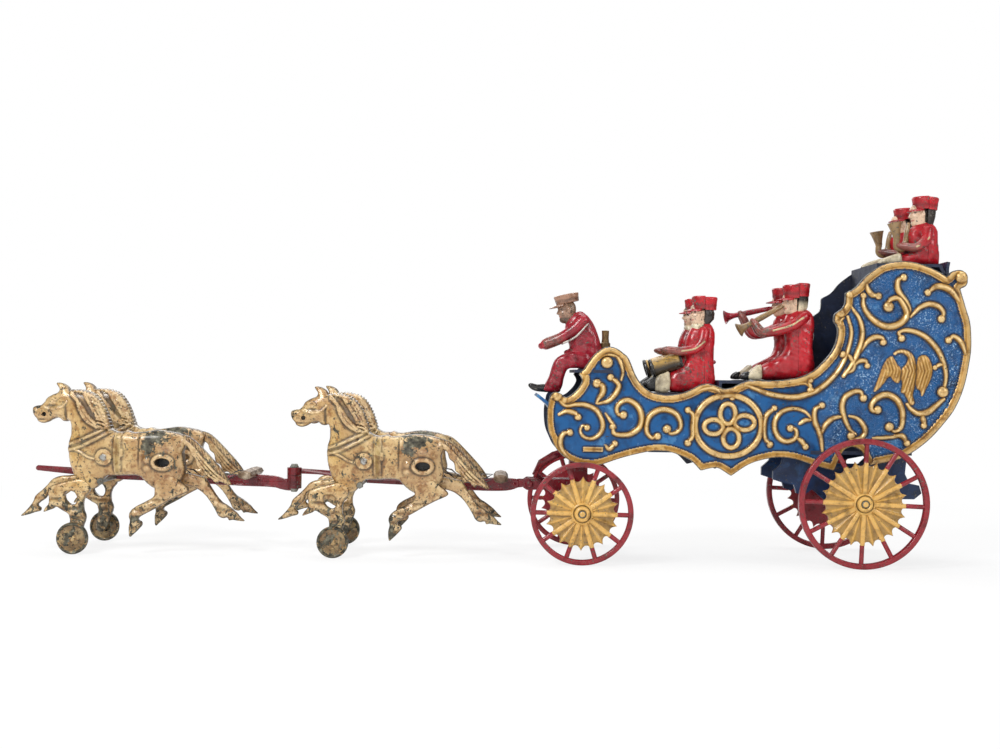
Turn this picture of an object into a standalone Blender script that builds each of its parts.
"""Cast iron toy band wagon drawn by two pairs of horses.

Sizes are in metres. The team faces -X, +Z is up and the ground is Z = 0.
The toy is the same on both sides of the plane Y = 0, which runs along the
poles. Castings are modelled one by one, with the clearance that loose
castings have, and each moving piece has its origin on its own axis.
"""

import math

import bmesh
import bpy
from mathutils import Vector
from mathutils.geometry import tessellate_polygon

# Clearances
FIT = 0.0003            # between castings that bear on one another

# Body
BODY_HALF = 0.0420      # centre plane to the outside of a side panel
PANEL_T = 0.0030        # side panel
FLOOR_Z = 0.0905        # underside of the floor
FLOOR_T = 0.0030
STAND_PAD = (0.0560, 0.0480, 0.0012)   # length, width and depth of the flat pad under the floor
FLOOR_X0 = 0.0540
FLOOR_X1 = 0.3420
TAB_W = 0.0160          # length of a tab that passes through a panel
TAB_SLACK = 0.0008
FRONT_TAB_X = 0.0800
REAR_TAB_X = 0.2660
SHEET_T = 0.0025        # benches, dash and back

# Seats, by the height of their top faces
DRIVER_SEAT_Z = 0.1570
DRIVER_SEAT_X = (0.0640, 0.0970)
LOW_BENCH_Z = 0.1385
LOW_BENCH_X = (0.1240, 0.1805)
MID_BENCH_Z = 0.1500
MID_BENCH_X = (0.1840, 0.2680)
TOP_BENCH_Z = 0.2480
TOP_BENCH_X = (0.3120, 0.3630)
WHIP_SOCKET_H = 0.0330
WHIP_SOCKET_R = 0.0024

# Wagon wheels
TRACK_HALF = 0.0630     # centre plane to the middle of a rim
RIM_W = 0.0060
REAR_AXLE_X = 0.2965
REAR_WHEEL_R = 0.0525
REAR_RIM_T = 0.0045
REAR_SPOKES = 12
REAR_SPOKE_W = 0.0034
REAR_SUN_R = 0.0340
FRONT_AXLE_X = 0.0705
FRONT_WHEEL_R = 0.0413
FRONT_RIM_T = 0.0042
FRONT_SPOKES = 10
FRONT_SPOKE_W = 0.0032
FRONT_SUN_R = 0.0294
SUN_T = 0.0032
SUN_PLEAT = 0.0011
SUN_NOTCH = 0.0028
HUB_R = 0.0078
HUB_W = 0.0130
JOURNAL_R = 0.0024
AXLE_R = 0.0040
AXLE_HEAD_R = 0.0038
AXLE_HEAD_T = 0.0016

# Rear hangers
SPRING_HALF = 0.0240    # centre plane to the middle of a hanger
SPRING_T = 0.0040
BOSS_R = 0.0085

# Front truck
KING_R = 0.0034
KING_HEAD_R = 0.0062
KING_HEAD_T = 0.0022
BOLSTER_HALF = 0.0100
HORN_HALF = 0.0180
HORN_R = 0.0022
DISC_R = 0.0140
DISC_T = 0.0030
HINGE_X = 0.0290        # pin that carries the pole
HINGE_Z = 0.0600
HINGE_R = 0.0022
JAW_HALF = 0.0090
JAW_T = 0.0030

# Team
HORSE_HALF = 0.0350     # centre plane to the parting plane of a horse
PAIR_PITCH = 0.2125     # second pair of horses to the first
POLE_R = 0.0024
POLE_TIP_X = -0.3885
COUPLING_X = -0.1705
COUPLING_R = 0.0020
COUPLING_HEAD_R = 0.0040
EYE_R = 0.0062
EYE_T = 0.0062
CROSS_ROD_X = -0.1105
CROSS_ROD_Z = 0.0598
CROSS_ROD_R = 0.0018
RIVET_X = -0.1070
RIVET_Z = 0.0796
RIVET_R = 0.0022
RIVET_HEAD_R = 0.0034
RIVET_BOSS_R = 0.0065
TREE_X = 0.0050
TREE_Z = 0.0652
TREE_HALF = 0.0270
TREE_R = 0.0037
TREE_WIDE = 0.0062
CHAIN_X = -0.0460
CHAIN_Z = 0.0705
CHAIN_LINKS = 3
CHAIN_R = 0.0007
HAUNCH_HALF = 0.0097    # parting plane of a horse to the inside of its haunch
HORSE_PLAIN = 22.0      # degrees under which faces of a horse become one
FIGURE_PLAIN = 20.0     # the same for a figure
HORSE_WHEEL_X = -0.1318
HORSE_WHEEL_R = 0.0130
HORSE_WHEEL_W = 0.0042
HORSE_AXLE_R = 0.0014

# Musicians
FIGURE_HALF = 0.0215    # centre plane to the middle of a musician

BLUE = ("wagon_blue", (0.030, 0.110, 0.330), 0.45, 0.0)
NAVY = ("inside_navy", (0.020, 0.030, 0.070), 0.55, 0.0)
RED = ("wheel_red", (0.330, 0.025, 0.035), 0.42, 0.0)
COAT = ("coat_red", (0.480, 0.012, 0.024), 0.38, 0.0)
CREAM = ("horse_cream", (0.620, 0.430, 0.200), 0.48, 0.0)
STEEL = ("bare_iron", (0.160, 0.150, 0.140), 0.50, 0.8)


def clear_scene():
    for thing in list(bpy.data.objects):
        bpy.data.objects.remove(thing)


def paint(look):
    """Return the material of that name, made the first time it is asked for."""
    name, colour, rough, metal = look
    if name in bpy.data.materials:
        return bpy.data.materials[name]
    material = bpy.data.materials.new(name)
    material.use_nodes = True
    shader = material.node_tree.nodes["Principled BSDF"]
    shader.inputs["Base Color"].default_value = (*colour, 1.0)
    shader.inputs["Roughness"].default_value = rough
    shader.inputs["Metallic"].default_value = metal
    return material


def body_from(verts, faces):
    """Make an unnamed closed body with its faces pointing out."""
    mesh = bpy.data.meshes.new("body")
    mesh.from_pydata(verts, [], faces)
    work = bmesh.new()
    work.from_mesh(mesh)
    bmesh.ops.remove_doubles(work, verts=work.verts, dist=1e-6)
    bmesh.ops.recalc_face_normals(work, faces=work.faces)
    work.to_mesh(mesh)
    work.free()
    thing = bpy.data.objects.new("body", mesh)
    bpy.context.collection.objects.link(thing)
    return thing


def combine(base, tools, operation="UNION"):
    """Join or cut a body with others, which are used up."""
    for tool in tools:
        step = base.modifiers.new("step", "BOOLEAN")
        step.operation = operation
        step.solver = "EXACT"
        step.object = tool
    bpy.context.view_layer.update()
    graph = bpy.context.evaluated_depsgraph_get()
    mesh = bpy.data.meshes.new_from_object(base.evaluated_get(graph))
    base.modifiers.clear()
    base.data = mesh
    for tool in tools:
        bpy.data.objects.remove(tool)
    return base


def finish(thing, name, look, origin=(0.0, 0.0, 0.0), sharp=35.0, plain=6.0):
    """Name a body, give it its paint and put its origin where it turns.

    Faces that meet at less than plain degrees become one.
    """
    work = bmesh.new()
    work.from_mesh(thing.data)
    bmesh.ops.remove_doubles(work, verts=work.verts, dist=1e-5)
    bmesh.ops.dissolve_degenerate(work, edges=work.edges, dist=1e-5)
    bmesh.ops.dissolve_limit(work, angle_limit=math.radians(plain), verts=work.verts, edges=work.edges)
    bmesh.ops.triangulate(work, faces=work.faces)
    bmesh.ops.translate(work, verts=work.verts, vec=-Vector(origin))
    mesh = bpy.data.meshes.new(name)
    work.to_mesh(mesh)
    work.free()
    mesh.materials.append(paint(look))
    mesh.polygons.foreach_set("material_index", [0] * len(mesh.polygons))
    mesh.shade_smooth()
    mesh.set_sharp_from_angle(angle=math.radians(sharp))
    thing.data = mesh
    thing.location = origin
    thing.name = name
    return thing


def copy_body(thing, shift=0.0, mirror=False):
    """Copy a body, moved along X and, if asked, seen in a mirror at Y = 0."""
    side = -1.0 if mirror else 1.0
    verts = [(v.co.x + shift, side * v.co.y, v.co.z) for v in thing.data.vertices]
    return body_from(verts, [tuple(p.vertices) for p in thing.data.polygons])


def curve(points, steps=3, closed=False):
    """Run a smooth Catmull-Rom curve through the points."""
    points = [Vector(p) for p in points]
    count = len(points)
    spans = count if closed else count - 1
    path = []
    for i in range(spans):
        p1, p2 = points[i], points[(i + 1) % count]
        p0 = points[i - 1] if (closed or i > 0) else p1 * 2 - p2
        p3 = points[(i + 2) % count] if (closed or i + 2 < count) else p2 * 2 - p1
        for k in range(steps):
            t = k / steps
            path.append(0.5 * (2 * p1 + (p2 - p0) * t + (2 * p0 - 5 * p1 + 4 * p2 - p3) * t * t
                               + (3 * p1 - p0 - 3 * p2 + p3) * t ** 3))
    if not closed:
        path.append(points[-1])
    return path


def plate(outline, lo, hi, holes=(), axis="Y"):
    """Extrude a flat outline, with its holes, from lo to hi along an axis."""
    loops = [[Vector((p[0], p[1], 0.0)) for p in loop] for loop in (outline, *holes)]
    flat = [p for loop in loops for p in loop]
    count = len(flat)

    def place(p, level):
        if axis == "Y":
            return (p.x, level, p.y)
        if axis == "Z":
            return (p.x, p.y, level)
        return (level, p.x, p.y)

    verts = [place(p, lo) for p in flat] + [place(p, hi) for p in flat]
    faces = []
    for a, b, c in tessellate_polygon(loops):
        faces += [(a, b, c), (c + count, b + count, a + count)]
    start = 0
    for loop in loops:
        n = len(loop)
        for i in range(n):
            j = (i + 1) % n
            faces.append((start + i, start + j, start + j + count, start + i + count))
        start += n
    return body_from(verts, faces)


def circle(x, z, radius, steps=16):
    return [(x + radius * math.sin(2 * math.pi * k / steps),
             z + radius * math.cos(2 * math.pi * k / steps)) for k in range(steps)]


def box(x0, x1, y0, y1, z0, z1):
    return plate([(x0, z0), (x1, z0), (x1, z1), (x0, z1)], y0, y1)


def strip(line, thick, y0, y1):
    """A sheet of even thickness bent along a line in the XZ plane."""
    line = [Vector(p) for p in line]
    left, right = [], []
    for i, p in enumerate(line):
        before = line[max(i - 1, 0)]
        after = line[min(i + 1, len(line) - 1)]
        run = ((p - before).normalized() + (after - p).normalized()).normalized()
        side = Vector((-run.y, run.x)) * thick / 2
        if 0 < i < len(line) - 1:
            side /= max((p - before).normalized().dot(run), 0.5)
        left.append(p + side)
        right.append(p - side)
    return plate(left + right[::-1], y0, y1)


def limb(path, radii, wide=None, sides=6, blunt=0.6, butt=0.0):
    """A body of oval rings along a path; radii lie in the XZ plane, wide along Y.

    blunt rounds its far end, and butt its near end, by that share of the radius.
    """
    path = [Vector(p) for p in path]
    wide = wide or radii
    rings = []
    last = len(path) - 1
    for i, centre in enumerate(path):
        along = (path[min(i + 1, last)] - path[max(i - 1, 0)]).normalized()
        level = Vector((1, 0, 0)) if abs(along.y) > 0.95 else Vector((0, 1, 0))
        across = (level - along * along.dot(level)).normalized()
        up = along.cross(across)
        if i == 0 and butt:
            rings.append((centre - along * radii[0] * butt, up, across, radii[0] * 0.55, wide[0] * 0.55))
        rings.append((centre, up, across, radii[i], wide[i]))
        if i == last and blunt:
            rings.append((centre + along * radii[i] * blunt, up, across, radii[i] * 0.55, wide[i] * 0.55))
    verts = []
    for centre, up, across, tall, broad in rings:
        for k in range(sides):
            turn = 2 * math.pi * k / sides
            verts.append(centre + up * tall * math.cos(turn) + across * broad * math.sin(turn))
    faces = []
    for i in range(len(rings) - 1):
        for k in range(sides):
            n = (k + 1) % sides
            faces.append((i * sides + k, i * sides + n, (i + 1) * sides + n, (i + 1) * sides + k))
    faces.append(tuple(range(sides)))
    faces.append(tuple((len(rings) - 1) * sides + k for k in reversed(range(sides))))
    return body_from(verts, faces)


def turned(profile, x, z, steps=24, closed=False):
    """Turn (radius, y) pairs about a cross axis through (x, z)."""
    verts, faces = [], []
    count = len(profile)
    for k in range(steps):
        turn = 2 * math.pi * k / steps
        for r, y in profile:
            verts.append((x + r * math.sin(turn), y, z + r * math.cos(turn)))
    for k in range(steps):
        n = (k + 1) % steps
        for i in range(count if closed else count - 1):
            j = (i + 1) % count
            quad = (k * count + i, k * count + j, n * count + j, n * count + i)
            faces.append(quad)
    if not closed:
        faces.append(tuple(k * count for k in range(steps)))
        faces.append(tuple(k * count + count - 1 for k in reversed(range(steps))))
    return body_from(verts, [tuple(dict.fromkeys(f)) for f in faces])


def rod(x, z, radius, y0, y1, steps=12):
    return turned([(radius, y0), (radius, y1)], x, z, steps)


def headed_rod(x, z, radius, head_r, head_t, reach, steps=6):
    """A rod across the toy with a peened head at each end."""
    profile = [(head_r * 0.7, -reach - head_t), (head_r, -reach), (radius, -reach),
               (radius, reach), (head_r, reach), (head_r * 0.7, reach + head_t)]
    return turned(profile, x, z, steps)


def post(x, y, radius, z0, z1, steps=12, head_r=0.0, head_t=0.0):
    """An upright pin, with a head at both ends where head_r is given."""
    rings = [(radius, z0), (radius, z1)]
    if head_r:
        rings = [(head_r * 0.6, z0 - head_t), (head_r, z0), (radius, z0),
                 (radius, z1), (head_r, z1), (head_r * 0.6, z1 + head_t)]
    verts, faces = [], []
    for r, z in rings:
        for k in range(steps):
            turn = 2 * math.pi * k / steps
            verts.append((x + r * math.cos(turn), y + r * math.sin(turn), z))
    for i in range(len(rings) - 1):
        for k in range(steps):
            n = (k + 1) % steps
            faces.append((i * steps + k, i * steps + n, (i + 1) * steps + n, (i + 1) * steps + k))
    faces.append(tuple(range(steps)))
    faces.append(tuple((len(rings) - 1) * steps + k for k in reversed(range(steps))))
    return body_from(verts, faces)


# Side panels. The edge is a chain of scrolls: each run is smooth and the runs
# meet in points. The runs go clockwise from the knob beside the footboard.
EDGE_RUNS = [
    [(0.0434, 0.1317), (0.0458, 0.1367), (0.0507, 0.1380), (0.0573, 0.1340)],
    [(0.0573, 0.1340), (0.0622, 0.1369), (0.0678, 0.1428), (0.0702, 0.1485), (0.0676, 0.1534)],
    [(0.0676, 0.1534), (0.0725, 0.1592), (0.0781, 0.1675), (0.0861, 0.1745), (0.0984, 0.1747),
     (0.1084, 0.1663), (0.1143, 0.1529), (0.1251, 0.1408), (0.1424, 0.1374), (0.1586, 0.1417),
     (0.1750, 0.1470), (0.1870, 0.1430)],
    [(0.1870, 0.1430), (0.1938, 0.1446), (0.2060, 0.1500), (0.2239, 0.1504), (0.2485, 0.1537),
     (0.2663, 0.1654), (0.2775, 0.1811), (0.2782, 0.1934), (0.2752, 0.2000)],
    [(0.2752, 0.2000), (0.2763, 0.2057), (0.2836, 0.2123), (0.2847, 0.2230)],
    [(0.2847, 0.2230), (0.2932, 0.2280), (0.3069, 0.2417), (0.3231, 0.2490), (0.3436, 0.2484),
     (0.3617, 0.2413), (0.3675, 0.2377)],
    [(0.3675, 0.2377), (0.3735, 0.2415), (0.3797, 0.2424), (0.3847, 0.2350), (0.3787, 0.2277)],
    [(0.3787, 0.2277), (0.3835, 0.2122), (0.3883, 0.1877), (0.3866, 0.1648), (0.3805, 0.1401),
     (0.3661, 0.1162), (0.3459, 0.0963), (0.3257, 0.0857), (0.3068, 0.0817)],
    [(0.3068, 0.0817), (0.3035, 0.0866), (0.2993, 0.0939), (0.2919, 0.0970), (0.2846, 0.0928),
     (0.2775, 0.0772)],
    [(0.2775, 0.0772), (0.2627, 0.0811), (0.2479, 0.0857), (0.2249, 0.0868), (0.2086, 0.0819),
     (0.1933, 0.0718)],
    [(0.1933, 0.0718), (0.1834, 0.0778), (0.1776, 0.0781), (0.1686, 0.0758)],
    [(0.1686, 0.0758), (0.1595, 0.0844), (0.1447, 0.0903), (0.1266, 0.0909), (0.1006, 0.0843),
     (0.0860, 0.0792), (0.0696, 0.0793), (0.0556, 0.0861), (0.0468, 0.0982), (0.0423, 0.1137),
     (0.0434, 0.1317)],
]


def panel_edge():
    edge = []
    for run in EDGE_RUNS:
        edge += curve(run, 2)[:-1]
    return edge


def slot(x, z, tall):
    """A rectangular hole for a tab centred on x, z."""
    half = TAB_W / 2 + TAB_SLACK
    return [(x - half, z - tall / 2), (x - half, z + tall / 2),
            (x + half, z + tall / 2), (x + half, z - tall / 2)]


def make_panels():
    tall = FLOOR_T + 2 * TAB_SLACK
    floor_mid = FLOOR_Z + FLOOR_T / 2
    holes = [slot(FRONT_TAB_X, floor_mid, tall), slot(REAR_TAB_X, floor_mid, tall),
             slot(seat_tab_x(), DRIVER_SEAT_Z - SHEET_T / 2, SHEET_T + 2 * TAB_SLACK)]
    inside = BODY_HALF - PANEL_T
    for name, side in (("side_panel_near", -1), ("side_panel_far", 1)):
        panel = plate(panel_edge(), side * inside, side * BODY_HALF, holes)
        finish(panel, name, BLUE, plain=9.0)


def seat_tab_x():
    return DRIVER_SEAT_X[1] - TAB_W / 2 - 0.0015


def tabs(x, z0, z1):
    """A tab to each side, flush with the outside of the panels."""
    root = BODY_HALF - PANEL_T - 2 * FIT
    return [box(x - TAB_W / 2, x + TAB_W / 2, -BODY_HALF, -root, z0, z1),
            box(x - TAB_W / 2, x + TAB_W / 2, root, BODY_HALF, z0, z1)]


def make_floor_and_seats():
    wide = BODY_HALF - PANEL_T - FIT
    top = FLOOR_Z + FLOOR_T
    floor = box(FLOOR_X0, FLOOR_X1, -wide, wide, FLOOR_Z, top)
    combine(floor, tabs(FRONT_TAB_X, FLOOR_Z, top) + tabs(REAR_TAB_X, FLOOR_Z, top))
    pad_mid = (FRONT_AXLE_X + REAR_AXLE_X) / 2 - STAND_PAD[0] / 2
    pad = box(pad_mid - STAND_PAD[0] / 2, pad_mid + STAND_PAD[0] / 2, -STAND_PAD[1] / 2,
              STAND_PAD[1] / 2, FLOOR_Z - STAND_PAD[2], FLOOR_Z + FLOOR_T / 2)
    combine(floor, [pad])
    king_hole = post(FRONT_AXLE_X, 0.0, KING_R + FIT, FLOOR_Z - 0.01, top + 0.01, 12)
    finish(combine(floor, [king_hole], "DIFFERENCE"), "floor_plate", NAVY)

    x0, x1 = DRIVER_SEAT_X
    under = DRIVER_SEAT_Z - SHEET_T
    seat = strip([(x0, DRIVER_SEAT_Z - SHEET_T / 2), (x1 - SHEET_T / 2, DRIVER_SEAT_Z - SHEET_T / 2),
                  (x1 - SHEET_T / 2, top + FIT)], SHEET_T, -wide, wide)
    socket = post(x1 - SHEET_T - WHIP_SOCKET_R, 0.0, WHIP_SOCKET_R, under + SHEET_T / 2,
                  DRIVER_SEAT_Z + WHIP_SOCKET_H, 10)
    collar = post(x1 - SHEET_T - WHIP_SOCKET_R, 0.0, WHIP_SOCKET_R * 1.6, under + SHEET_T / 2,
                  DRIVER_SEAT_Z + WHIP_SOCKET_H * 0.68, 10)
    finish(combine(seat, tabs(seat_tab_x(), under, DRIVER_SEAT_Z) + [collar, socket]),
           "driver_seat", NAVY)

    for name, (x0, x1), level in (("bench_low", LOW_BENCH_X, LOW_BENCH_Z),
                                  ("bench_mid", MID_BENCH_X, MID_BENCH_Z)):
        line = [(x0, top + FIT), (x0, level - SHEET_T / 2), (x1, level - SHEET_T / 2)]
        finish(strip(line, SHEET_T, -wide, wide), name, NAVY)


def make_dash_and_back():
    wide = BODY_HALF - PANEL_T - FIT
    top = FLOOR_Z + FLOOR_T + FIT
    board = curve([(0.0340, 0.1355), (0.0405, 0.1305), (0.0465, 0.1235), (0.0485, 0.1140),
                   (0.0510, 0.1040), (FLOOR_X0 + 0.0030, top + 0.0030)], 2)
    board.append(Vector((FLOOR_X0 + 0.0030, top)))
    finish(strip(board, SHEET_T, -wide, wide), "front_dash", BLUE)
    foot = FLOOR_X1 - SHEET_T
    back = curve([(foot, top + 0.0030), (0.3560, 0.1130), (0.3700, 0.1330), (0.3775, 0.1560),
                  (0.3815, 0.1840), (0.3800, 0.2050), (0.3740, 0.2250), (0.3690, 0.2400),
                  (0.3700, 0.2500)], 2)
    finish(strip([(foot, top)] + back, SHEET_T, -wide, wide), "rear_wall", NAVY)
    x0, x1 = TOP_BENCH_X
    line = [(x0, TOP_BENCH_Z - 0.0220), (x0, TOP_BENCH_Z - SHEET_T / 2),
            (x1, TOP_BENCH_Z - SHEET_T / 2), (0.3690 - SHEET_T, 0.2400)]
    finish(strip(line, SHEET_T, -wide, wide), "bench_top", NAVY)


def sun_disc(x, z, side, radius, tips, y_face):
    """A pleated disc: ridges run out to the tips and valleys to the notches."""
    verts, faces = [], []
    count = 2 * tips
    for k in range(count):
        turn = 2 * math.pi * k / count
        ridge = k % 2 == 0
        reach = radius if ridge else radius - SUN_NOTCH
        lift = 0.0 if ridge else SUN_PLEAT
        for y in (y_face - side * lift, y_face - side * SUN_T):
            verts.append((x + reach * math.sin(turn), y, z + reach * math.cos(turn)))
    verts += [(x, y_face, z), (x, y_face - side * SUN_T, z)]
    for k in range(count):
        n = (k + 1) % count
        faces += [(2 * k, 2 * n, 2 * n + 1, 2 * k + 1), (2 * k, 2 * count, 2 * n),
                  (2 * k + 1, 2 * n + 1, 2 * count + 1)]
    return body_from(verts, faces)


def make_wheel(name, x, radius, rim_t, spokes, spoke_w, sun_r, side):
    mid = side * TRACK_HALF
    half = RIM_W / 2
    inner = radius - rim_t
    edge = rim_t * 0.25
    rim = turned([(inner, mid - half), (inner, mid + half), (radius - edge, mid + half),
                  (radius, mid - half)], x, radius, 24, True)
    face = mid + side * half * 0.7
    parts = []
    for k in range(spokes):
        turn = 2 * math.pi * k / spokes
        sin, cos = math.sin(turn), math.cos(turn)
        ends = ((sun_r - 2 * SUN_NOTCH, 0.52), (inner + rim_t * 0.3, 0.46),
                (inner + rim_t * 0.3, -0.46), (sun_r - 2 * SUN_NOTCH, -0.52))
        outline = [(x + sin * r + cos * spoke_w * w, radius + cos * r - sin * spoke_w * w)
                   for r, w in ends]
        levels = sorted((face - side * SUN_PLEAT * 1.1, face - side * SUN_T * 0.94))
        parts.append(plate(outline, *levels))
    sun = sun_disc(x, radius, side, sun_r, 2 * spokes, face)
    outer = mid + side * HUB_W * 0.30
    back = mid - side * HUB_W * 0.70
    hub = turned([(HUB_R * 0.7, back), (HUB_R, outer), (HUB_R * 0.75, outer),
                  (HUB_R * 0.65, outer - side * 0.0009)], x, radius, 10)
    wheel = combine(sun, [hub, rim] + parts)
    bore = rod(x, radius, JOURNAL_R + FIT, mid - HUB_W, mid + HUB_W, 8)
    combine(wheel, [bore], "DIFFERENCE")
    finish(wheel, name, RED, (x, mid, radius))


def make_axle(name, x, z):
    """Thick between the wheels, thin inside them, with a peened head outside."""
    shoulder = TRACK_HALF - HUB_W * 0.70 - FIT
    end = TRACK_HALF + HUB_W * 0.30 + FIT
    profile = [(AXLE_HEAD_R * 0.7, end + AXLE_HEAD_T), (AXLE_HEAD_R, end), (JOURNAL_R, end),
               (JOURNAL_R, shoulder), (AXLE_R, shoulder)]
    profile += [(r, -y) for r, y in reversed(profile)]
    finish(turned(profile, x, z, 8), name, STEEL)


def make_wheels():
    for name, side in (("near", -1), ("far", 1)):
        make_wheel("rear_wheel_" + name, REAR_AXLE_X, REAR_WHEEL_R, REAR_RIM_T, REAR_SPOKES,
                   REAR_SPOKE_W, REAR_SUN_R, side)
        make_wheel("front_wheel_" + name, FRONT_AXLE_X, FRONT_WHEEL_R, FRONT_RIM_T, FRONT_SPOKES,
                   FRONT_SPOKE_W, FRONT_SUN_R, side)
    make_axle("rear_axle", REAR_AXLE_X, REAR_WHEEL_R)
    make_axle("front_axle", FRONT_AXLE_X, FRONT_WHEEL_R)


def make_hangers():
    """Scrolled hangers between the floor and the rear axle."""
    x, z, top = REAR_AXLE_X, REAR_WHEEL_R, FLOOR_Z - FIT
    left = curve([(x - 0.0565, top), (x - 0.0590, top - 0.0090), (x - 0.0655, top - 0.0150),
                  (x - 0.0655, top - 0.0220), (x - 0.0590, top - 0.0240), (x - 0.0480, top - 0.0260),
                  (x - 0.0460, top - 0.0330), (x - 0.0400, top - 0.0350), (x - 0.0330, z + 0.0080),
                  (x - 0.0200, z + 0.0030), (x - 0.0080, z - 0.0075)], 1)
    right = curve([(x + 0.0080, z - 0.0075), (x + 0.0200, z + 0.0030), (x + 0.0330, z + 0.0060),
                   (x + 0.0400, z + 0.0010), (x + 0.0520, z + 0.0010), (x + 0.0580, z + 0.0060),
                   (x + 0.0560, z + 0.0125), (x + 0.0480, z + 0.0140), (x + 0.0440, z + 0.0220),
                   (x + 0.0455, top)], 1)
    waist = [(x + 0.0300, top), (x + 0.0190, top - 0.0110), (x - 0.0190, top - 0.0110),
             (x - 0.0300, top)]
    for name, side in (("near", -1), ("far", 1)):
        y0 = side * (SPRING_HALF - SPRING_T / 2)
        y1 = side * (SPRING_HALF + SPRING_T / 2)
        hanger = plate(left + right + waist, y0, y1, [circle(x, z, BOSS_R * 0.75, 10)])
        proud = side * SPRING_T / 4
        boss = turned([(AXLE_R + FIT, y0 - proud), (BOSS_R, y0 - proud), (BOSS_R, y1 + proud),
                       (AXLE_R + FIT, y1 + proud)], x, z, 8, True)
        finish(combine(hanger, [boss]), "rear_hanger_" + name, BLUE)


def make_truck():
    """The swivelling front casting, with its king pin cast in one."""
    x, z = FRONT_AXLE_X, FRONT_WHEEL_R
    top = FLOOR_Z - FIT
    block = box(x - 0.0075, x + 0.0075, -BOLSTER_HALF, BOLSTER_HALF, z, top - DISC_T / 2)
    boss = rod(x, z, BOSS_R, -BOLSTER_HALF - 0.0020, BOLSTER_HALF + 0.0020, 10)
    disc = post(x, 0.0, DISC_R, top - DISC_T, top, 12)
    king = post(x, 0.0, KING_R, top - DISC_T, FLOOR_Z + FLOOR_T + 2 * FIT, 8)
    head = post(x, 0.0, KING_HEAD_R, FLOOR_Z + FLOOR_T + FIT, FLOOR_Z + FLOOR_T + FIT + KING_HEAD_T, 8)
    reach = box(HINGE_X + 0.0110, x, -BOLSTER_HALF, BOLSTER_HALF, HINGE_Z - 0.0045, HINGE_Z + 0.0045)
    parts = [boss, disc, king, head, reach]
    for side in (-1, 1):
        y0, y1 = side * (JAW_HALF - JAW_T), side * JAW_HALF
        jaw = plate([(HINGE_X - 0.0050, HINGE_Z - 0.0030), (HINGE_X - 0.0050, HINGE_Z + 0.0030),
                     (HINGE_X - 0.0020, HINGE_Z + 0.0050), (HINGE_X + 0.0140, HINGE_Z + 0.0045),
                     (HINGE_X + 0.0140, HINGE_Z - 0.0045), (HINGE_X - 0.0020, HINGE_Z - 0.0050)],
                    min(y0, y1), max(y0, y1))
        y = side * HORN_HALF
        horn = limb(curve([(HINGE_X + 0.0150, side * JAW_HALF * 0.8, HINGE_Z + 0.0010),
                           (HINGE_X + 0.0050, y * 0.80, HINGE_Z + 0.0075),
                           (HINGE_X + 0.0100, y, HINGE_Z + 0.0170),
                           (HINGE_X + 0.0210, y * 0.95, HINGE_Z + 0.0240),
                           (x - DISC_R * 0.8, y * 0.50, top - DISC_T * 0.9)], 1),
                    [HORN_R] * 5, [HORN_R] * 5, 4)
        parts += [jaw, horn]
    combine(block, parts)
    holes = [rod(x, z, AXLE_R + FIT, -0.05, 0.05, 8), rod(HINGE_X, HINGE_Z, HINGE_R + FIT, -0.03, 0.03, 7)]
    combine(block, holes, "DIFFERENCE")
    finish(block, "front_truck", RED, (x, 0.0, top), plain=10.0)
    finish(headed_rod(HINGE_X, HINGE_Z, HINGE_R, HINGE_R * 1.7, 0.0014, JAW_HALF + FIT),
           "pole_hinge_pin", STEEL, (HINGE_X, 0.0, HINGE_Z))


# Centre line of a pole between its horses, from the front to the hitch.
POLE_LINE = [(-0.1500, 0.0668), (-0.1300, 0.0645), (-0.1120, 0.0605), (-0.0950, 0.0587),
             (-0.0600, 0.0574), (-0.0200, 0.0570), (0.0030, 0.0570)]


def tree_body(shift, x, z):
    """A flat oval draught bar across the pole, with rounded ends."""
    return limb([(x + shift, -TREE_HALF, z), (x + shift, TREE_HALF, z)], [TREE_R] * 2, [TREE_WIDE] * 2,
                8, 0.6, 0.6)


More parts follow.
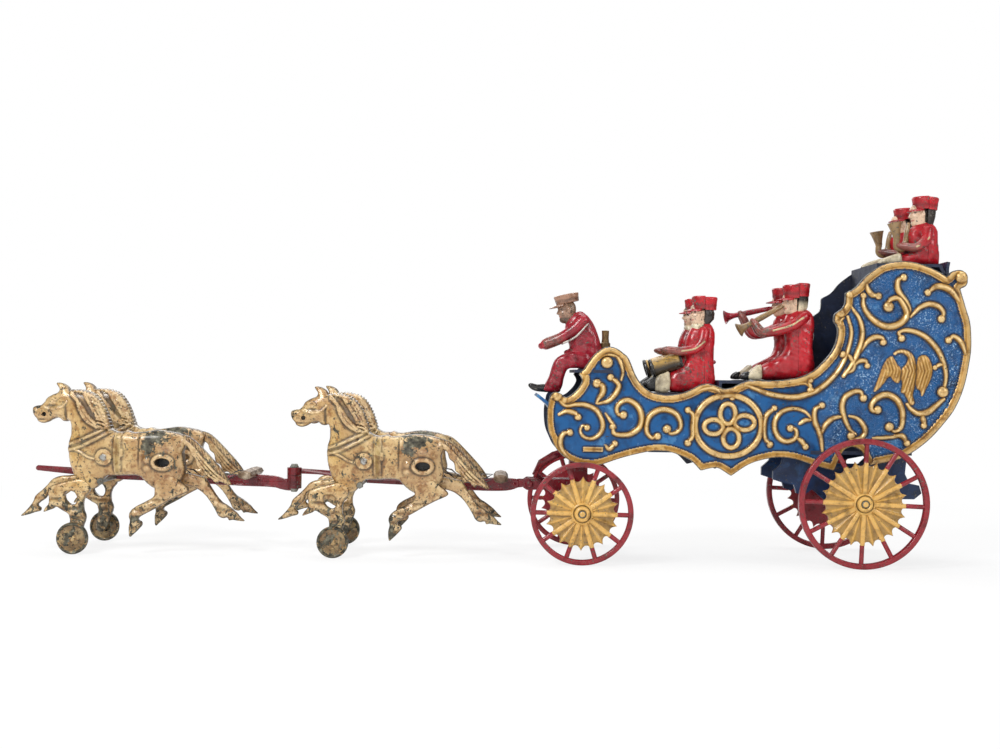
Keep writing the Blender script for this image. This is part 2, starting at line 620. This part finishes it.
def make_poles():
    seat = TREE_Z - TREE_R - FIT
    run = curve([(COUPLING_X + EYE_R, 0.0672)] + POLE_LINE, 1)
    line = [(p.x, 0.0, p.y) for p in run] + [(HINGE_X - 0.0080, 0.0, HINGE_Z), (HINGE_X, 0.0, HINGE_Z)]
    size = [POLE_R] * (len(run) - 1) + [POLE_R * 1.5, POLE_R * 1.6, POLE_R * 1.5]
    rear = limb(line, size, [POLE_R] * len(line), 5)
    eye_z = 0.0672
    eye = post(COUPLING_X, 0.0, EYE_R, eye_z - EYE_T / 2, eye_z + EYE_T / 2, 10)
    ring = rod(HINGE_X, HINGE_Z, HINGE_R + 0.0026, -JAW_HALF + JAW_T + FIT, JAW_HALF - JAW_T - FIT, 9)
    saddle = box(TREE_X - 0.0060, TREE_X + 0.0060, -0.0035, 0.0035, 0.0570, seat)
    combine(rear, [eye, ring, saddle])
    cuts = [post(COUPLING_X, 0.0, COUPLING_R + FIT, 0.04, 0.09, 8),
            rod(HINGE_X, HINGE_Z, HINGE_R + FIT, -0.03, 0.03, 8),
            rod(CROSS_ROD_X, CROSS_ROD_Z, CROSS_ROD_R + FIT, -0.01, 0.01, 8)]
    finish(combine(rear, cuts, "DIFFERENCE"), "rear_pole", RED, (HINGE_X, 0.0, HINGE_Z), plain=10.0)

    run = curve([(POLE_TIP_X + PAIR_PITCH, 0.0667)] + POLE_LINE[:-1], 1)
    line = [(p.x - PAIR_PITCH, 0.0, p.y) for p in run]
    line += [(-0.2100, 0.0, 0.0568), (-0.1920, 0.0, 0.0575), (COUPLING_X, 0.0, 0.0565)]
    size = [POLE_R] * len(run) + [POLE_R * 1.6, POLE_R * 1.7, POLE_R * 1.6]
    front = limb(line, size, [POLE_R] * len(run) + [POLE_R * 1.3] * 3, 5, 0.6, 0.6)
    low = eye_z - EYE_T / 2 - FIT
    pad = post(COUPLING_X, 0.0, EYE_R, low - 0.0110, low, 10)
    saddle = box(TREE_X - PAIR_PITCH - 0.0060, TREE_X - PAIR_PITCH + 0.0060, -0.0035, 0.0035,
                 0.0570, seat)
    combine(front, [pad, saddle])
    cuts = [post(COUPLING_X, 0.0, COUPLING_R + FIT, 0.04, 0.09, 8),
            rod(CROSS_ROD_X - PAIR_PITCH, CROSS_ROD_Z, CROSS_ROD_R + FIT, -0.01, 0.01, 8)]
    finish(combine(front, cuts, "DIFFERENCE"), "front_pole", RED, (COUPLING_X, 0.0, eye_z), plain=10.0)
    pin = post(COUPLING_X, 0.0, COUPLING_R, low - 0.0110 - FIT, eye_z + EYE_T / 2 + FIT, 8,
               COUPLING_HEAD_R, 0.0028)
    finish(pin, "coupling_pin", STEEL, (COUPLING_X, 0.0, eye_z))
    for name, shift in (("rear", 0.0), ("front", -PAIR_PITCH)):
        finish(tree_body(shift, TREE_X, TREE_Z), "draught_bar_" + name, STEEL)


def horse_shape():
    """One whole horse with its parting plane at Y = 0 and its outside towards -Y."""
    barrel = limb([(-0.1340, 0, 0.0835), (-0.1210, 0, 0.0828), (-0.1030, 0, 0.0822), (-0.0840, 0, 0.0834),
                   (-0.0640, 0, 0.0842), (-0.0510, 0, 0.0835)],
                  [0.0135, 0.0186, 0.0186, 0.0168, 0.0175, 0.0140],
                  [0.0077, 0.0102, 0.0108, 0.0104, 0.0106, 0.0089], 8, 0.45, 0.45)
    neck = limb([(-0.1120, 0, 0.0920), (-0.1180, 0, 0.1120), (-0.1265, 0, 0.1245), (-0.1380, 0, 0.1275)],
                [0.0175, 0.0185, 0.0128, 0.0100], [0.0098, 0.0080, 0.0070, 0.0064], 6, 0.0)
    head = limb([(-0.1385, 0, 0.1255), (-0.1490, 0, 0.1195), (-0.1575, 0, 0.1150), (-0.1640, 0, 0.1133)],
                [0.0100, 0.0108, 0.0084, 0.0068], [0.0060, 0.0066, 0.0055, 0.0046], 6, 0.5)
    ear = limb([(-0.1430, 0, 0.1310), (-0.1478, 0, 0.1385)], [0.0028, 0.0014], [0.0040, 0.0016], 4, 0.0)
    tail = limb([(-0.0520, 0, 0.0900), (-0.0400, 0, 0.0905), (-0.0310, 0, 0.0830), (-0.0220, 0, 0.0730),
                 (-0.0130, 0, 0.0600)],
                [0.0060, 0.0058, 0.0068, 0.0070, 0.0036], [0.0040, 0.0040, 0.0045, 0.0045, 0.0030], 6, 0.0)
    near_hind = limb([(-0.0600, -0.0045, 0.0720), (-0.0600, -0.0050, 0.0590), (-0.0560, -0.0050, 0.0480),
                      (-0.0720, -0.0050, 0.0412), (-0.0812, -0.0050, 0.0340), (-0.0822, -0.0050, 0.0190)],
                     [0.0140, 0.0100, 0.0062, 0.0036, 0.0042, 0.0046],
                     [0.0050, 0.0046, 0.0042, 0.0032, 0.0034, 0.0038], 5, 0.0)
    far_hind = limb([(-0.0540, 0.0045, 0.0700), (-0.0380, 0.0050, 0.0565), (-0.0220, 0.0050, 0.0430),
                     (-0.0120, 0.0050, 0.0345), (-0.0010, 0.0050, 0.0290)],
                    [0.0130, 0.0080, 0.0044, 0.0040, 0.0032], [0.0048, 0.0046, 0.0036, 0.0034, 0.0030], 5, 0.0)
    raised = limb([(-0.1240, 0.0050, 0.0680), (-0.1500, 0.0050, 0.0565), (-0.1640, 0.0050, 0.0440),
                   (-0.1755, 0.0050, 0.0335)],
                  [0.0100, 0.0058, 0.0072, 0.0030], [0.0048, 0.0042, 0.0040, 0.0034], 5, 0.0)
    standing = limb([(-0.1200, -0.0040, 0.0680), (-0.1260, -0.0045, 0.0480), (-0.1275, -0.0045, 0.0340),
                     (-0.1318, -0.0035, HORSE_WHEEL_R)],
                    [0.0090, 0.0048, 0.0058, 0.0050], [0.0039, 0.0036, 0.0034, 0.0026], 5, 0.0)
    brace = limb([(-0.1240, -0.0040, 0.0580), (-0.1480, -0.0040, 0.0535), (-0.1300, -0.0042, 0.0305)],
                 [0.0036, 0.0032, 0.0036], [0.0030, 0.0030, 0.0030], 4, 0.2)
    lug = limb([(CROSS_ROD_X, 0, CROSS_ROD_Z + 0.0082), (CROSS_ROD_X, 0, CROSS_ROD_Z - 0.0014)],
               [0.0045, 0.0042], [0.0060, 0.0055], 4, 0.0)
    boss = rod(RIVET_X, RIVET_Z, RIVET_BOSS_R, -0.0112, 0.0112, 9)
    return combine(barrel, [neck, head, ear, tail, near_hind, far_hind, raised, standing,
                            brace, lug, boss])


def halve(whole, lo, hi):
    """Keep the part of a body between two levels of Y."""
    keep = box(-1.0, 1.0, lo, hi, -1.0, 1.0)
    return combine(copy_body(whole), [keep], "INTERSECT")


def make_horses():
    whole = horse_shape()
    wheel_x = HORSE_WHEEL_X
    holes = [rod(RIVET_X, RIVET_Z, RIVET_R + FIT, -0.03, 0.03, 8),
             rod(CROSS_ROD_X, CROSS_ROD_Z, CROSS_ROD_R + FIT, -0.03, 0.03, 8)]
    combine(whole, holes, "DIFFERENCE")
    outer = halve(whole, -0.03, -FIT / 2)
    inner = halve(whole, FIT / 2, 0.03)
    slot_outline = [(-0.0589 + 0.0060 * math.cos(t * math.pi / 4), 0.0759 + 0.0034 * math.sin(t * math.pi / 4))
                    for t in range(8)]
    axle_hole = rod(wheel_x, HORSE_WHEEL_R, HORSE_AXLE_R + FIT, -0.03, 0.03, 8)
    combine(outer, [plate(slot_outline, -0.03, 0.0005), axle_hole], "DIFFERENCE")
    bpy.data.objects.remove(whole)
    for half, part in (("outer", outer), ("inner", inner)):
        for v in part.data.vertices:
            v.co.y -= HORSE_HALF
    for pair, shift in (("second", 0.0), ("first", -PAIR_PITCH)):
        for side, mirror in (("near", False), ("far", True)):
            for half, part in (("outer", outer), ("inner", inner)):
                copied = copy_body(part, shift, mirror)
                finish(copied, f"horse_{pair}_{side}_{half}", CREAM, plain=HORSE_PLAIN)
            sign = 1 if mirror else -1
            make_horse_wheel(f"horse_wheel_{pair}_{side}", wheel_x + shift, sign)
            rivet = headed_rod(RIVET_X + shift, RIVET_Z, RIVET_R, RIVET_HEAD_R, 0.0014, 0.0112 + FIT)
            for v in rivet.data.vertices:
                v.co.y += sign * HORSE_HALF
            finish(rivet, f"horse_rivet_{pair}_{side}", STEEL)
    bpy.data.objects.remove(outer)
    bpy.data.objects.remove(inner)
    for name, shift in (("rear", 0.0), ("front", -PAIR_PITCH)):
        cross = headed_rod(CROSS_ROD_X + shift, CROSS_ROD_Z, CROSS_ROD_R, CROSS_ROD_R * 1.8, 0.0012,
                           HORSE_HALF + 0.0062)
        finish(cross, "cross_rod_" + name, STEEL)


def make_horse_wheel(name, x, side):
    """A small dished wheel outside the standing foreleg, riveted on its own stub."""
    leg = HORSE_HALF + 0.0066
    inner = side * (leg + FIT)
    mid = side * (leg + FIT + HORSE_WHEEL_W / 2)
    outer = side * (leg + FIT + HORSE_WHEEL_W)
    r = HORSE_WHEEL_R
    wheel = turned([(r, inner), (r, outer), (r - 0.0024, outer), (r - 0.0036, outer - side * 0.0014),
                    (0.0044, outer - side * 0.0010)], x, r, 12)
    bore = rod(x, r, HORSE_AXLE_R + FIT, mid - 0.01, mid + 0.01, 8)
    finish(combine(wheel, [bore], "DIFFERENCE"), name, CREAM, (x, mid, r))


def make_chains():
    """Trace chains from a haunch to the draught bar, one fused run of links each."""
    for pair, shift in (("rear", 0.0), ("front", -PAIR_PITCH)):
        for side, sign in (("near", -1), ("far", 1)):
            reach = CHAIN_R * 0.8 + FIT
            start = Vector((CHAIN_X + shift, sign * (HORSE_HALF - HAUNCH_HALF - reach), CHAIN_Z))
            end = Vector((TREE_X + shift - TREE_WIDE - reach, sign * (TREE_HALF - 0.0030), TREE_Z))
            chain = None
            links = []
            for k in range(CHAIN_LINKS):
                a, b = k / CHAIN_LINKS, (k + 1) / CHAIN_LINKS
                sag = 0.0060
                p = start.lerp(end, a) - Vector((0, 0, sag * 4 * a * (1 - a)))
                q = start.lerp(end, b) - Vector((0, 0, sag * 4 * b * (1 - b)))
                links.append(chain_link(p, q, k % 2 == 0))
            chain = combine(links[0], links[1:])
            finish(chain, f"trace_chain_{pair}_{side}", STEEL)


def chain_link(p, q, upright):
    """An oval ring from p to q of square wire."""
    along = (q - p).normalized()
    side = Vector((0, 1, 0)) - along * along.y
    side.normalize()
    other = along.cross(side)
    wide, deep = (other, side) if upright else (side, other)
    centre = (p + q) / 2
    half_l = (q - p).length / 2 + CHAIN_R * 0.3
    half_w = 0.0020
    verts, faces = [], []
    count = 4
    for k in range(count):
        turn = 2 * math.pi * k / count
        out = along * math.cos(turn) * half_l + wide * math.sin(turn) * half_w
        grow = out.normalized() * CHAIN_R
        for r, d in ((-0.8, -1), (1, 0), (-0.8, 1)):
            verts.append(centre + out + grow * r + deep * CHAIN_R * d)
    for k in range(count):
        n = (k + 1) % count
        for i in range(3):
            j = (i + 1) % 3
            faces.append((3 * k + i, 3 * k + j, 3 * n + j, 3 * n + i))
    return body_from(verts, faces)


def visor(x, z, reach, half, tilt=0.0):
    """The peak of a cap: a thin half oval in front of x."""
    outline = [(x - reach * math.sin(t * math.pi / 5), half * math.cos(t * math.pi / 5)) for t in range(6)]
    peak = plate(outline, z - 0.0006, z + 0.0006, axis="Z")
    for v in peak.data.vertices:
        v.co.z -= (x - v.co.x) * tilt
    return peak


def pair_of(path, radii, wide=None, sides=5, blunt=0.0):
    """A limb and its mirror image."""
    return [limb([(x, side * y, z) for x, y, z in path], radii, wide, sides, blunt) for side in (-1, 1)]


def head_and_cap(neck, head, cap, peak):
    """Neck, head, round cap and peak; each path runs upwards."""
    return [limb(neck, [0.0056, 0.0056], None, 5, 0.0),
            limb(head, [0.0066, 0.0102, 0.0097], [0.0064, 0.0086, 0.0084], 6, 0.0, 0.3),
            limb(cap, [0.0101, 0.0108], [0.0092, 0.0098], 7, 0.0),
            visor(*peak)]


def drummer():
    parts = head_and_cap([(0.1725, 0, 0.1900), (0.1720, 0, 0.1990)],
                         [(0.1715, 0, 0.1975), (0.1712, 0, 0.2035), (0.1718, 0, 0.2110)],
                         [(0.1726, 0, 0.2090), (0.1729, 0, 0.2193)], (0.1660, 0.2092, 0.0085, 0.0072, 0.10))
    parts += pair_of([(0.1700, 0.0060, 0.1476), (0.1440, 0.0062, 0.1470), (0.1275, 0.0062, 0.1455)],
                     [0.0088, 0.0068, 0.0054], [0.0058, 0.0052, 0.0046])
    parts += pair_of([(0.1715, 0.0115, 0.1885), (0.1640, 0.0120, 0.1765), (0.1415, 0.0052, 0.1745)],
                     [0.0060, 0.0048, 0.0040], None, 5)
    axis = Vector((-0.42, 0.0, 0.91)).normalized()
    centre = Vector((0.1410, 0.0, 0.1620))
    parts.append(limb([centre - axis * 0.0068, centre + axis * 0.0068], [0.0132] * 2, [0.0130] * 2, 8, 0.0))
    torso = limb([(0.1710, 0, 0.1480), (0.1712, 0, 0.1600), (0.1692, 0, 0.1860), (0.1705, 0, 0.1950)],
                 [0.0092, 0.0084, 0.0100, 0.0062], [0.0120, 0.0106, 0.0134, 0.0084], 6, 0.0)
    return combine(torso, parts)


def trumpeter(lift):
    tube = [(0.2375, 0.2070), (0.2070, 0.1950), (0.2005, 0.1925)]
    path = [(x, 0.0, z + lift * (0.2375 - x)) for x, z in tube]
    parts = head_and_cap([(0.2520, 0, 0.2000), (0.2500, 0, 0.2090)],
                         [(0.2475, 0, 0.2060), (0.2470, 0, 0.2130), (0.2480, 0, 0.2205)],
                         [(0.2484, 0, 0.2186), (0.2490, 0, 0.2312)], (0.2405, 0.2188, 0.0085, 0.0076, 0.10))
    parts.append(limb(path, [0.0016, 0.0027, 0.0060], None, 6, 0.0))
    parts += pair_of([(0.2500, 0.0060, 0.1633), (0.2270, 0.0062, 0.1580), (0.2120, 0.0062, 0.1530)],
                     [0.0092, 0.0068, 0.0038], [0.0058, 0.0052, 0.0040])
    hand = lift * 0.0200
    parts += pair_of([(0.2545, 0.0115, 0.1985), (0.2400, 0.0115, 0.1945), (0.2170, 0.0038, 0.1965 + hand)],
                     [0.0062, 0.0052, 0.0042], None, 5)
    torso = limb([(0.2520, 0, 0.1640), (0.2512, 0, 0.1780), (0.2510, 0, 0.1900), (0.2525, 0, 0.2010)],
                 [0.0108, 0.0104, 0.0118, 0.0078], [0.0122, 0.0106, 0.0134, 0.0088], 6, 0.0)
    return combine(torso, parts)


def horn_player(near):
    parts = head_and_cap([(0.3540, 0, 0.2790), (0.3525, 0, 0.2870)],
                         [(0.3515, 0, 0.2840), (0.3512, 0, 0.2900), (0.3527, 0, 0.2985)],
                         [(0.3533, 0, 0.2966), (0.3546, 0, 0.3055)], (0.3455, 0.2968, 0.0078, 0.0076, 0.06))
    parts += pair_of([(0.3490, 0.0060, 0.2565), (0.3240, 0.0062, 0.2568), (0.3115, 0.0062, 0.2528)],
                     [0.0078, 0.0064, 0.0040], [0.0058, 0.0052, 0.0042])
    parts += pair_of([(0.3535, 0.0112, 0.2755), (0.3440, 0.0116, 0.2640), (0.3310, 0.0044, 0.2635)],
                     [0.0064, 0.0054, 0.0044], None, 5, 0.5)
    if near:
        pipe = [(0.3400, 0, 0.2835), (0.3330, 0, 0.2665), (0.3265, 0, 0.2720), (0.3255, 0, 0.2800)]
    else:
        pipe = [(0.3400, 0, 0.2860), (0.3290, 0, 0.2650), (0.3222, 0, 0.2730), (0.3230, 0, 0.2860)]
    parts.append(limb(pipe, [0.0016, 0.0031, 0.0041, 0.0070], None, 6, 0.0))
    torso = limb([(0.3505, 0, 0.2570), (0.3505, 0, 0.2650), (0.3515, 0, 0.2730), (0.3525, 0, 0.2810)],
                 [0.0092, 0.0096, 0.0106, 0.0074], [0.0122, 0.0108, 0.0134, 0.0088], 6, 0.0)
    return combine(torso, parts)


def seat_level(figure, level):
    """Cut a figure flat where it sits."""
    below = box(-1.0, 1.0, -0.1, 0.1, -1.0, level)
    return combine(figure, [below], "DIFFERENCE")


def make_musicians():
    rows = (("drummer", drummer, drummer, LOW_BENCH_Z, 0.1722),
            ("trumpeter", lambda: trumpeter(0.0), lambda: trumpeter(0.30), MID_BENCH_Z, 0.2497),
            ("horn_player", lambda: horn_player(True), lambda: horn_player(False), TOP_BENCH_Z, 0.3560))
    for name, near, far, level, seam in rows:
        for side, sign, build in (("near", -1, near), ("far", 1, far)):
            figure = seat_level(build(), level + FIT)
            for v in figure.data.vertices:
                v.co.y += sign * FIGURE_HALF
            front = combine(copy_body(figure), [box(-1.0, seam - FIT / 2, -0.1, 0.1, -1.0, 1.0)], "INTERSECT")
            back = combine(copy_body(figure), [box(seam + FIT / 2, 1.0, -0.1, 0.1, -1.0, 1.0)], "INTERSECT")
            bpy.data.objects.remove(figure)
            finish(front, f"{name}_{side}_front", COAT, plain=FIGURE_PLAIN)
            finish(back, f"{name}_{side}_back", COAT, plain=FIGURE_PLAIN)


def make_driver():
    parts = head_and_cap([(0.0700, 0, 0.1960), (0.0640, 0, 0.2040)],
                         [(0.0590, 0, 0.1985), (0.0602, 0, 0.2060), (0.0599, 0, 0.2170)],
                         [(0.0597, 0, 0.2150), (0.0580, 0, 0.2222)], (0.0540, 0.2145, 0.0080, 0.0078, 0.30))
    parts += pair_of([(0.0720, 0.0105, 0.1975), (0.0620, 0.0118, 0.1905), (0.0415, 0.0070, 0.1773)],
                     [0.0074, 0.0068, 0.0060], [0.0060, 0.0056, 0.0050], 5)
    parts += pair_of([(0.0770, 0.0062, 0.1680), (0.0555, 0.0068, 0.1620), (0.0478, 0.0068, 0.1420)],
                     [0.0086, 0.0074, 0.0052], [0.0060, 0.0055, 0.0046])
    parts += pair_of([(0.0500, 0.0068, 0.1408), (0.0320, 0.0068, 0.1425)],
                     [0.0038, 0.0026], [0.0044, 0.0034], 4)
    torso = limb([(0.0760, 0, 0.1640), (0.0757, 0, 0.1770), (0.0735, 0, 0.1890), (0.0715, 0, 0.1990)],
                 [0.0102, 0.0102, 0.0100, 0.0068], [0.0132, 0.0116, 0.0138, 0.0094], 6, 0.0)
    figure = combine(torso, parts)
    below = box(DRIVER_SEAT_X[0] - 0.0010, 0.2, -0.1, 0.1, -1.0, DRIVER_SEAT_Z + FIT)
    finish(combine(figure, [below], "DIFFERENCE"), "driver", COAT, plain=FIGURE_PLAIN)


clear_scene()
make_panels()
make_floor_and_seats()
make_dash_and_back()
make_wheels()
make_hangers()
make_truck()
make_poles()
make_horses()
make_chains()
make_driver()
make_musicians()
